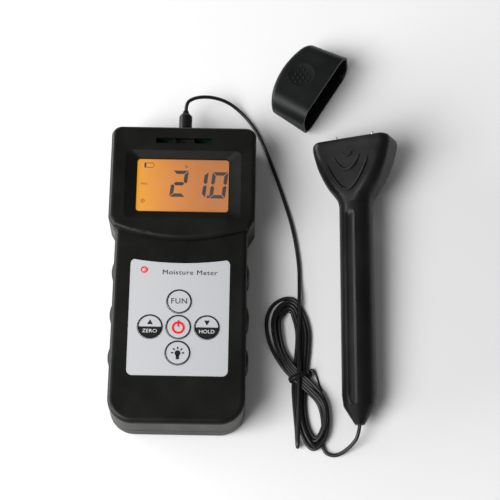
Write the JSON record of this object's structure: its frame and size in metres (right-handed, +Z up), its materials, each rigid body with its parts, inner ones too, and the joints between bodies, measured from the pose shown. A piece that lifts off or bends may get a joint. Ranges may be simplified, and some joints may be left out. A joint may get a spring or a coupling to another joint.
{
  "type": "moisture meter",
  "caption": "Handheld moisture meter with an amber display and a keypad, a plug-in lead tied in a hank, a T-shaped hand probe with pins, and the probe's loose protective cap.",
  "frame": {"origin": "middle of the meter's flat back, on the table it lies on", "axes": "+Z up out of the display, +Y towards the display end and the plug, +X to the right, where the probe lies"},
  "size_m": [0.1388, 0.208, 0.0308],
  "materials": {
    "case_plastic": "satin",
    "rear_plastic": "satin",
    "door_plastic": "satin",
    "clear_window": "polished",
    "lcd_amber": "glossy",
    "backlight_diffuser": "glossy",
    "white_plastic": "matte",
    "zebra_rubber": "matte",
    "board_green": "satin",
    "component_black": "matte",
    "label_silver": "satin",
    "key_overlay": "satin",
    "key_power_overlay": "satin",
    "switch_metal": "satin",
    "led_red": "glossy",
    "buzzer_black": "satin",
    "jack_plastic": "satin",
    "nickel": "polished",
    "cell_sleeve": "glossy",
    "spring_steel": "polished",
    "screw_steel": "satin",
    "insulator": "matte",
    "plug_mould": "satin",
    "lead_jacket": "satin",
    "tie_plastic": "satin",
    "probe_plastic": "satin",
    "cap_plastic": "satin",
    "pin_steel": "polished"
  },
  "bodies": {
    "meter": {"front_shell": "case_plastic", "rear_shell": "rear_plastic", "display_window": "clear_window", "lcd_glass": "lcd_amber", "backlight": "backlight_diffuser", "lcd_frame": "white_plastic", "zebra_strip": "zebra_rubber", "circuit_board": "board_green", "board_components": "component_black", "keypad_label": "label_silver", "key_switches": "switch_metal", "status_led": "led_red", "buzzer": "buzzer_black", "jack_socket": "jack_plastic", "socket_ring": "nickel", "battery_cells": "cell_sleeve", "battery_contacts": "nickel", "battery_springs": "spring_steel", "case_screws": "screw_steel", "board_screws": "screw_steel"},
    "door": {"battery_door": "door_plastic"},
    "key_fun_cap": {"key_fun": "key_overlay"},
    "key_zero_cap": {"key_zero": "key_overlay"},
    "key_power_cap": {"key_power": "key_power_overlay"},
    "key_hold_cap": {"key_hold": "key_overlay"},
    "key_light_cap": {"key_light": "key_overlay"},
    "lead": {"plug_contacts": "nickel", "plug_insulators": "insulator", "plug_body": "plug_mould", "plug_boot": "plug_mould", "lead_run": "lead_jacket", "lead_hank": "lead_jacket", "lead_tail": "lead_jacket", "twist_tie": "tie_plastic"},
    "probe": {"probe_head_front": "probe_plastic", "probe_head_rear": "probe_plastic", "probe_handle": "probe_plastic", "probe_end_cap": "probe_plastic", "probe_screws": "screw_steel", "pin_block": "probe_plastic", "probe_pins": "pin_steel", "pin_nuts": "screw_steel", "probe_board": "board_green"},
    "cap": {"protective_cap": "cap_plastic"}
  },
  "joints": [
    {"name": "battery_door_slide", "type": "slide", "parent": "meter", "child": "door", "axis": [0, -1, 0], "range_m": [0, 0.055]},
    {"name": "key_fun_press", "type": "slide", "parent": "meter", "child": "key_fun_cap", "axis": [0, 0, -1], "range_m": [0, 0.0004], "stiffness_N_per_m": 1200},
    {"name": "key_zero_press", "type": "slide", "parent": "meter", "child": "key_zero_cap", "axis": [0, 0, -1], "range_m": [0, 0.0004], "stiffness_N_per_m": 1200},
    {"name": "key_power_press", "type": "slide", "parent": "meter", "child": "key_power_cap", "axis": [0, 0, -1], "range_m": [0, 0.0004], "stiffness_N_per_m": 1200},
    {"name": "key_hold_press", "type": "slide", "parent": "meter", "child": "key_hold_cap", "axis": [0, 0, -1], "range_m": [0, 0.0004], "stiffness_N_per_m": 1200},
    {"name": "key_light_press", "type": "slide", "parent": "meter", "child": "key_light_cap", "axis": [0, 0, -1], "range_m": [0, 0.0004], "stiffness_N_per_m": 1200},
    {"name": "lead_unplug", "type": "slide", "parent": "meter", "child": "lead", "axis": [0, 1, 0], "range_m": [0, 0.016]},
    {"name": "probe_lift", "type": "slide", "parent": "lead", "child": "probe", "axis": [0, 0, 1], "range_m": [0, 0.015]},
    {"name": "cap_pull", "type": "slide", "parent": "meter", "child": "cap", "axis": [-0.8572, 0.515, 0], "range_m": [0, 0.008]}
  ]
}
